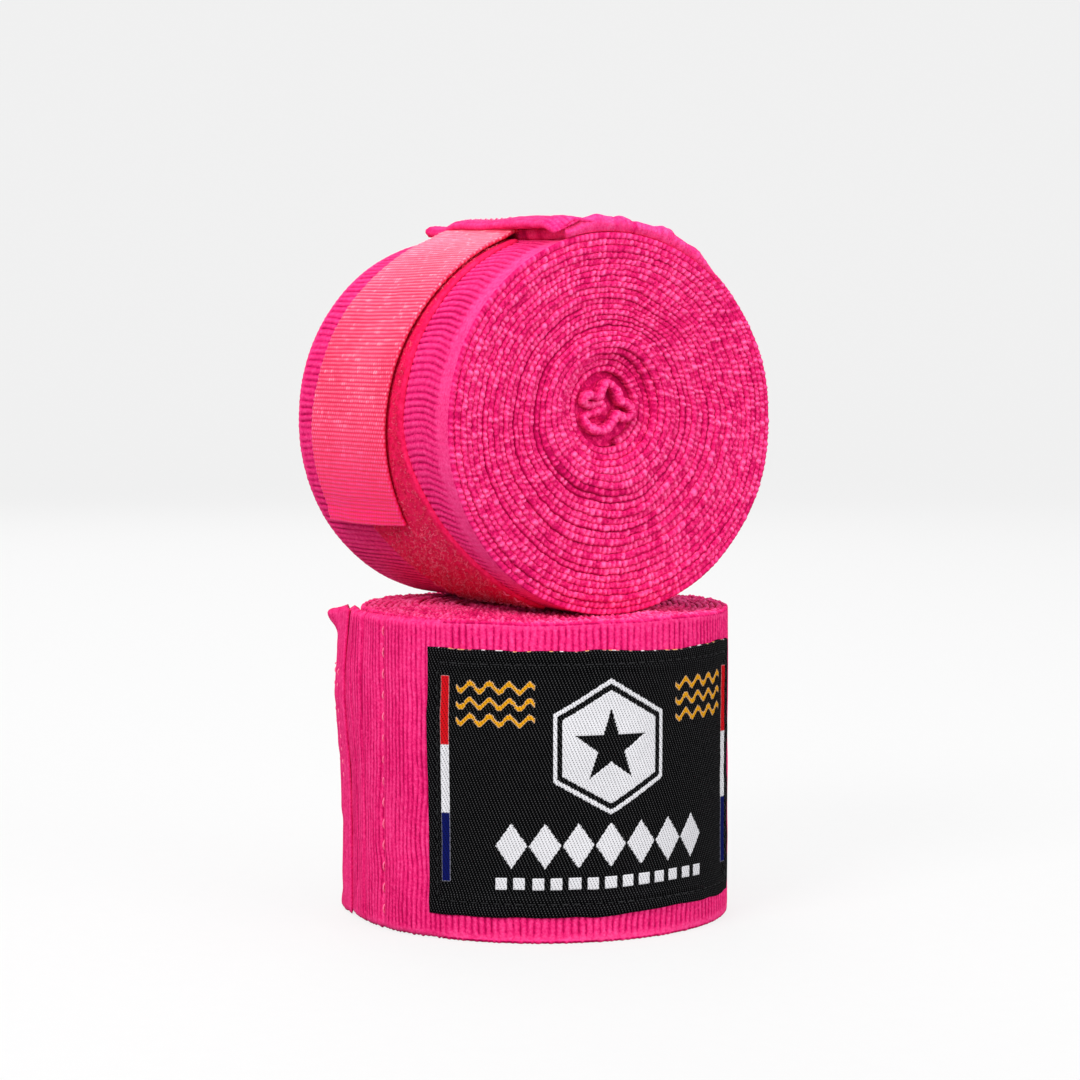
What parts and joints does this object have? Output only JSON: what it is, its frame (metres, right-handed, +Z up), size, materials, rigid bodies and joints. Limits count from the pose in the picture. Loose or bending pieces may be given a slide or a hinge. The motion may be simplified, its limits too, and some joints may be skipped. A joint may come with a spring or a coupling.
{
  "type": "hand wrap pair",
  "caption": "Pair of rolled elastic boxing hand wraps with thumb loop, hook tape closure that peels off a loop patch, sewn hem and woven label; one roll stands, the other lies on it.",
  "frame": {"origin": "centre of the lower roll at its bottom face", "axes": "+Z up along the lower roll's winding axis, +X to the right and -Y to the front, where the lower roll's label faces"},
  "size_m": [0.0775, 0.0743, 0.1128],
  "materials": {
    "band": "woven semi-elastic cotton and elastane band, ribbed, hot pink",
    "thread": "pink sewing thread",
    "loop_pile": "brushed loop pile, bright red with pale fibre ends",
    "hook_tape": "ribbed woven hook tape, coral, slight sheen",
    "label": "black damask woven label with raised pale pattern",
    "label_thread": "black sewing thread"
  },
  "bodies": {
    "lower_roll": {"lower_band_roll": "band", "lower_thumb_loop": "band", "lower_thumb_loop_bartack": "thread", "lower_loop_patch": "loop_pile", "lower_loop_patch_stitching": "thread", "lower_label": "label", "lower_label_stitching": "label_thread"},
    "lower_band_end_a": {"lower_band_end_inner": "band", "lower_band_end_stitching": "thread"},
    "lower_band_end_b": {"lower_band_end_outer": "band", "lower_end_hem": "band", "lower_hem_stitching": "thread", "lower_hook_tape_root": "hook_tape"},
    "lower_tape_1": {"lower_hook_tape_1": "hook_tape"},
    "lower_tape_2": {"lower_hook_tape_2": "hook_tape"},
    "lower_tape_3": {"lower_hook_tape_3": "hook_tape"},
    "lower_tape_4": {"lower_hook_tape_4": "hook_tape"},
    "lower_tape_5": {"lower_hook_tape_5": "hook_tape"},
    "lower_tape_6": {"lower_hook_tape_6": "hook_tape"},
    "upper_roll": {"upper_band_roll": "band", "upper_thumb_loop": "band", "upper_thumb_loop_bartack": "thread", "upper_loop_patch": "loop_pile", "upper_loop_patch_stitching": "thread", "upper_label": "label", "upper_label_stitching": "label_thread"},
    "upper_band_end_a": {"upper_band_end_inner": "band", "upper_band_end_stitching": "thread"},
    "upper_band_end_b": {"upper_band_end_outer": "band", "upper_end_hem": "band", "upper_hem_stitching": "thread", "upper_hook_tape_root": "hook_tape"},
    "upper_tape_1": {"upper_hook_tape_1": "hook_tape"},
    "upper_tape_2": {"upper_hook_tape_2": "hook_tape"},
    "upper_tape_3": {"upper_hook_tape_3": "hook_tape"},
    "upper_tape_4": {"upper_hook_tape_4": "hook_tape"},
    "upper_tape_5": {"upper_hook_tape_5": "hook_tape"},
    "upper_tape_6": {"upper_hook_tape_6": "hook_tape"}
  },
  "joints": [
    {"name": "lower_band_end_lift", "type": "hinge", "parent": "lower_roll", "child": "lower_band_end_a", "pos_m": [-0.01999, -0.02382, 0.025], "axis": [0, 0, 1], "range_deg": [0, 50]},
    {"name": "lower_band_end_curl", "type": "hinge", "parent": "lower_band_end_a", "child": "lower_band_end_b", "pos_m": [-0.02819, -0.01314, 0.025], "axis": [0, 0, 1], "range_deg": [0, 25]},
    {"name": "lower_tape_peel_1", "type": "hinge", "parent": "lower_band_end_b", "child": "lower_tape_1", "pos_m": [-0.03103, 0.00443, 0.0295], "axis": [0, 0, 1], "range_deg": [0, 25]},
    {"name": "lower_tape_peel_2", "type": "hinge", "parent": "lower_tape_1", "child": "lower_tape_2", "pos_m": [-0.02859, 0.01295, 0.0295], "axis": [0, 0, 1], "range_deg": [0, 25]},
    {"name": "lower_tape_peel_3", "type": "hinge", "parent": "lower_tape_2", "child": "lower_tape_3", "pos_m": [-0.02389, 0.02047, 0.0295], "axis": [0, 0, 1], "range_deg": [0, 25]},
    {"name": "lower_tape_peel_4", "type": "hinge", "parent": "lower_tape_3", "child": "lower_tape_4", "pos_m": [-0.0173, 0.0264, 0.0295], "axis": [0, 0, 1], "range_deg": [0, 25]},
    {"name": "lower_tape_peel_5", "type": "hinge", "parent": "lower_tape_4", "child": "lower_tape_5", "pos_m": [-0.00934, 0.03028, 0.0295], "axis": [0, 0, 1], "range_deg": [0, 25]},
    {"name": "lower_tape_peel_6", "type": "hinge", "parent": "lower_tape_5", "child": "lower_tape_6", "pos_m": [-0.00061, 0.03182, 0.0295], "axis": [0, 0, 1], "range_deg": [0, 25]},
    {"name": "upper_roll_lift", "type": "slide", "parent": "lower_roll", "child": "upper_roll", "axis": [0, 0, 1], "range_m": [0, 0.06]},
    {"name": "upper_band_end_lift", "type": "hinge", "parent": "upper_roll", "child": "upper_band_end_a", "pos_m": [0.01256, 0.01128, 0.10649], "axis": [-0.5299, 0.848, 0], "range_deg": [0, 50]},
    {"name": "upper_band_end_curl", "type": "hinge", "parent": "upper_band_end_a", "child": "upper_band_end_b", "pos_m": [0.00187, 0.00459, 0.11121], "axis": [-0.5299, 0.848, 0], "range_deg": [0, 25]},
    {"name": "upper_tape_peel_1", "type": "hinge", "parent": "upper_band_end_b", "child": "upper_tape_1", "pos_m": [-0.01547, -0.00094, 0.10879], "axis": [-0.5299, 0.848, 0], "range_deg": [0, 25]},
    {"name": "upper_tape_peel_2", "type": "hinge", "parent": "upper_tape_1", "child": "upper_tape_2", "pos_m": [-0.02178, -0.00488, 0.10396], "axis": [-0.5299, 0.848, 0], "range_deg": [0, 25]},
    {"name": "upper_tape_peel_3", "type": "hinge", "parent": "upper_tape_2", "child": "upper_tape_3", "pos_m": [-0.02671, -0.00796, 0.09727], "axis": [-0.5299, 0.848, 0], "range_deg": [0, 25]},
    {"name": "upper_tape_peel_4", "type": "hinge", "parent": "upper_tape_3", "child": "upper_tape_4", "pos_m": [-0.02988, -0.00994, 0.08924], "axis": [-0.5299, 0.848, 0], "range_deg": [0, 25]},
    {"name": "upper_tape_peel_5", "type": "hinge", "parent": "upper_tape_4", "child": "upper_tape_5", "pos_m": [-0.03106, -0.01068, 0.08049], "axis": [-0.5299, 0.848, 0], "range_deg": [0, 25]},
    {"name": "upper_tape_peel_6", "type": "hinge", "parent": "upper_tape_5", "child": "upper_tape_6", "pos_m": [-0.03014, -0.0101, 0.07169], "axis": [-0.5299, 0.848, 0], "range_deg": [0, 25]}
  ],
  "couplings": [
    {"joint": "lower_band_end_curl", "follows": "lower_band_end_lift", "ratio": 0.5},
    {"joint": "lower_tape_peel_2", "follows": "lower_tape_peel_1", "ratio": 1},
    {"joint": "lower_tape_peel_3", "follows": "lower_tape_peel_1", "ratio": 1},
    {"joint": "lower_tape_peel_4", "follows": "lower_tape_peel_1", "ratio": 1},
    {"joint": "lower_tape_peel_5", "follows": "lower_tape_peel_1", "ratio": 1},
    {"joint": "lower_tape_peel_6", "follows": "lower_tape_peel_1", "ratio": 1},
    {"joint": "upper_band_end_curl", "follows": "upper_band_end_lift", "ratio": 0.5},
    {"joint": "upper_tape_peel_2", "follows": "upper_tape_peel_1", "ratio": 1},
    {"joint": "upper_tape_peel_3", "follows": "upper_tape_peel_1", "ratio": 1},
    {"joint": "upper_tape_peel_4", "follows": "upper_tape_peel_1", "ratio": 1},
    {"joint": "upper_tape_peel_5", "follows": "upper_tape_peel_1", "ratio": 1},
    {"joint": "upper_tape_peel_6", "follows": "upper_tape_peel_1", "ratio": 1}
  ]
}
